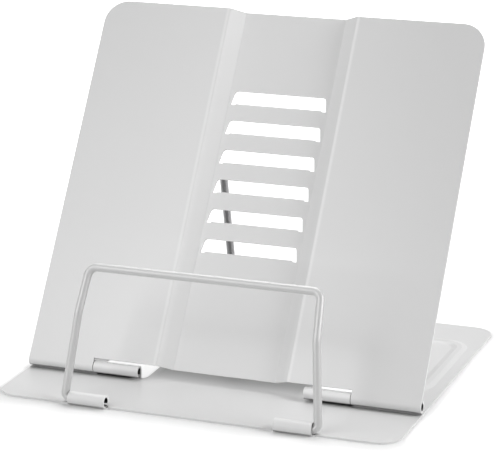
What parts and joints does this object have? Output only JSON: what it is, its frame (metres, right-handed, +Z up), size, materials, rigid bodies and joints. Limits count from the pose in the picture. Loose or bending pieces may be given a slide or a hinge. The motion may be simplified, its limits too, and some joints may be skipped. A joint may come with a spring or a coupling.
{
  "type": "folding book stand",
  "caption": "Folding sheet-steel book stand: tilting back panel with a slotted channel, on a flat base plate, with a wire prop behind and a wire page holder in front.",
  "frame": {"origin": "on the table, midway between the plate's rear edge and the front of its sockets", "axes": "+X to the reader's right, +Y away from the reader, +Z up; the panel leans back towards +Y"},
  "size_m": [0.2, 0.1742, 0.1648],
  "materials": {
    "base_steel": "smooth satin powder coat, off-white",
    "panel_steel": "smooth satin powder coat, off-white",
    "pin_steel": "plain drawn steel",
    "bail_wire": "smooth satin powder coat, off-white",
    "prop_wire": "zinc-plated wire"
  },
  "bodies": {
    "base": {"base_plate": "base_steel", "hinge_pin_left": "pin_steel", "hinge_pin_right": "pin_steel"},
    "panel": {"back_panel": "panel_steel"},
    "bail": {"page_bail": "bail_wire"},
    "prop": {"prop_wire": "prop_wire"}
  },
  "joints": [
    {"name": "panel_fold", "type": "hinge", "parent": "base", "child": "panel", "pos_m": [0, -0.0436, 0.0046], "axis": [1, 0, 0], "range_deg": [-49.7, 3]},
    {"name": "prop_swing", "type": "hinge", "parent": "base", "child": "prop", "pos_m": [0, 0.0417, 0.0032], "axis": [1, 0, 0], "range_deg": [-100, 7]},
    {"name": "bail_swing", "type": "hinge", "parent": "base", "child": "bail", "pos_m": [0, -0.0839, 0.0032], "axis": [1, 0, 0], "range_deg": [-38.5, 97]}
  ],
  "couplings": [
    {"joint": "prop_swing", "follows": "panel_fold", "ratio": 2}
  ]
}
